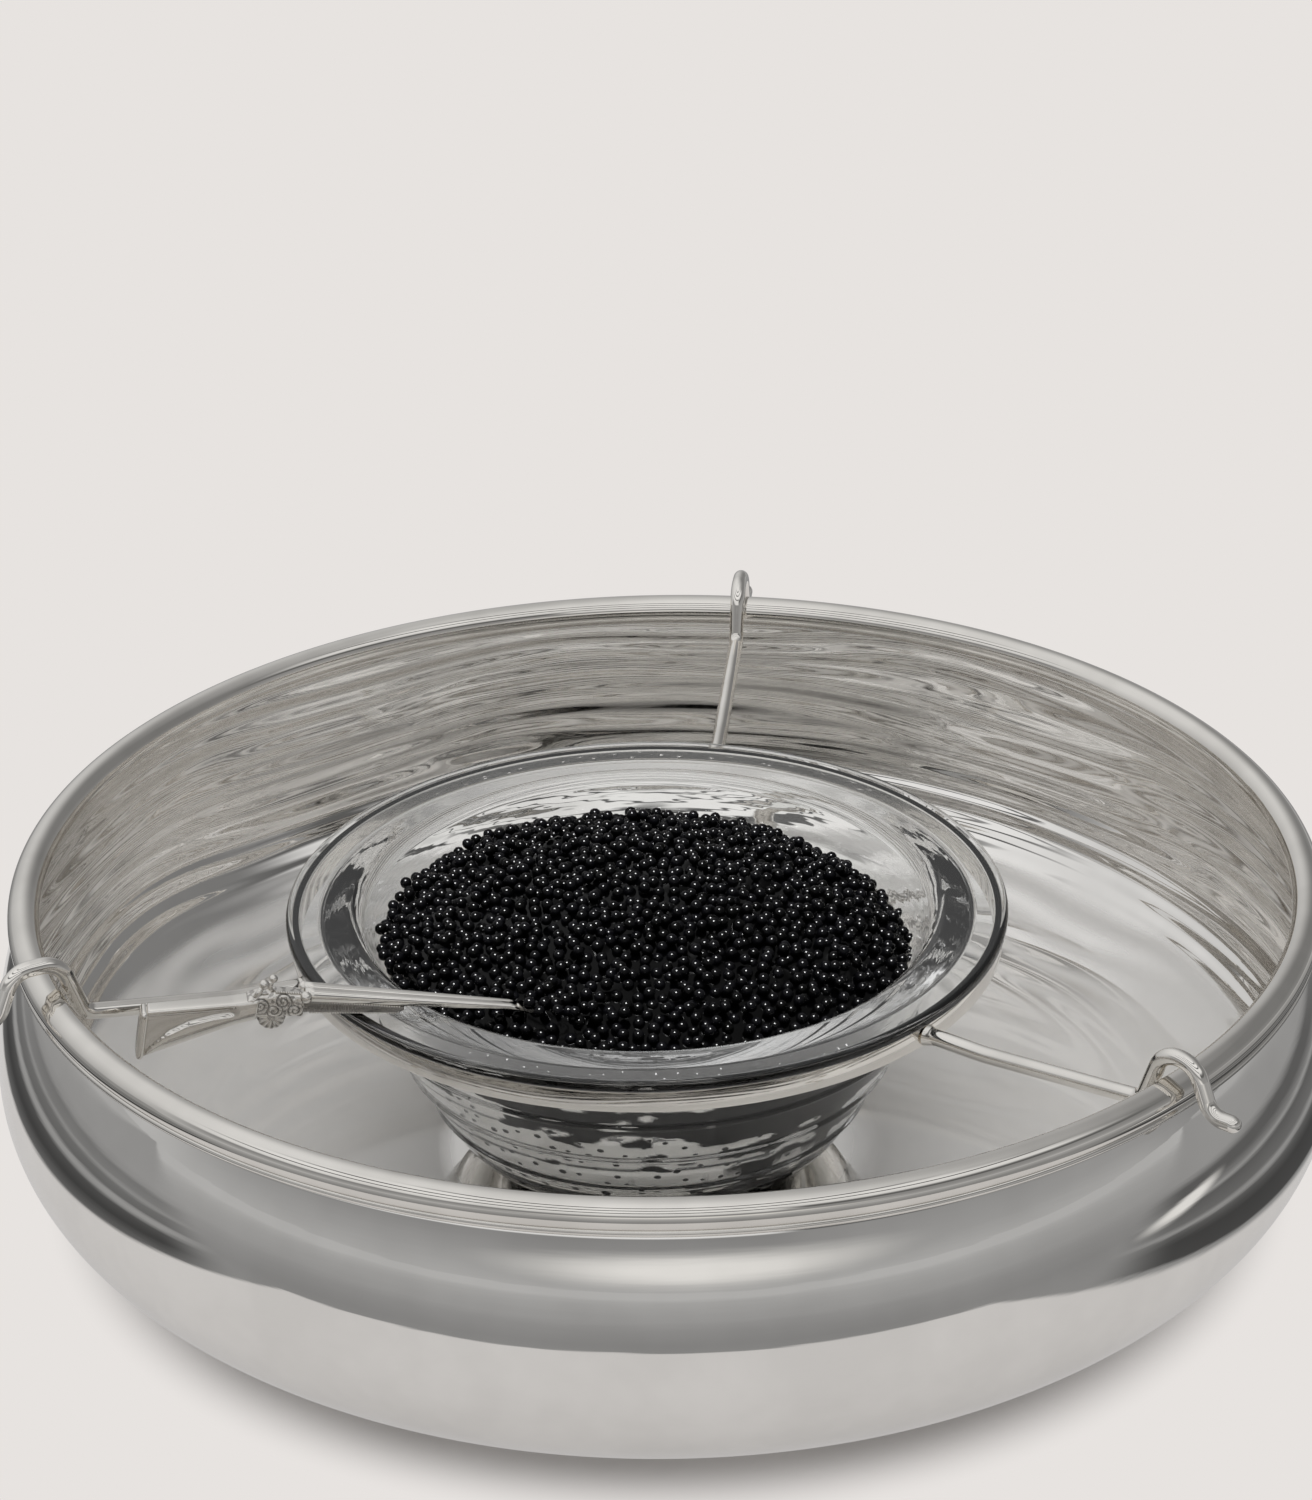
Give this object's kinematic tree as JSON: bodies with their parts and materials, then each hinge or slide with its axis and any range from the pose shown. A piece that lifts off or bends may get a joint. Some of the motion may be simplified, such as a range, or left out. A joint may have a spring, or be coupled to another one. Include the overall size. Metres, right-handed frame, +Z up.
{
  "type": "caviar server",
  "caption": "Round silver ice bowl with a wire holder hooked over its rim, carrying a thick glass dish heaped with black roe and a small spreader laid across it.",
  "frame": {"origin": "on the bowl's axis, in the plane the bowl stands on", "axes": "+Z up along the bowl's axis, -Y towards the front, the spreader lies at -X"},
  "size_m": [0.2582, 0.2655, 0.0705],
  "materials": {
    "bowl_silver": "polished",
    "rim_silver": "polished",
    "holder_silver": "polished",
    "clear_glass": "clear",
    "black_roe": "wet gloss",
    "spreader_silver": "polished, engraved"
  },
  "bodies": {
    "root": {"ice_bowl": "bowl_silver", "rim_mount": "rim_silver", "holder_ring": "holder_silver", "arm_back": "holder_silver", "arm_left": "holder_silver", "arm_right": "holder_silver", "glass_dish": "clear_glass", "roe_heap": "black_roe", "spreader_handle": "spreader_silver", "spreader_blade": "spreader_silver"}
  },
  "joints": []
}
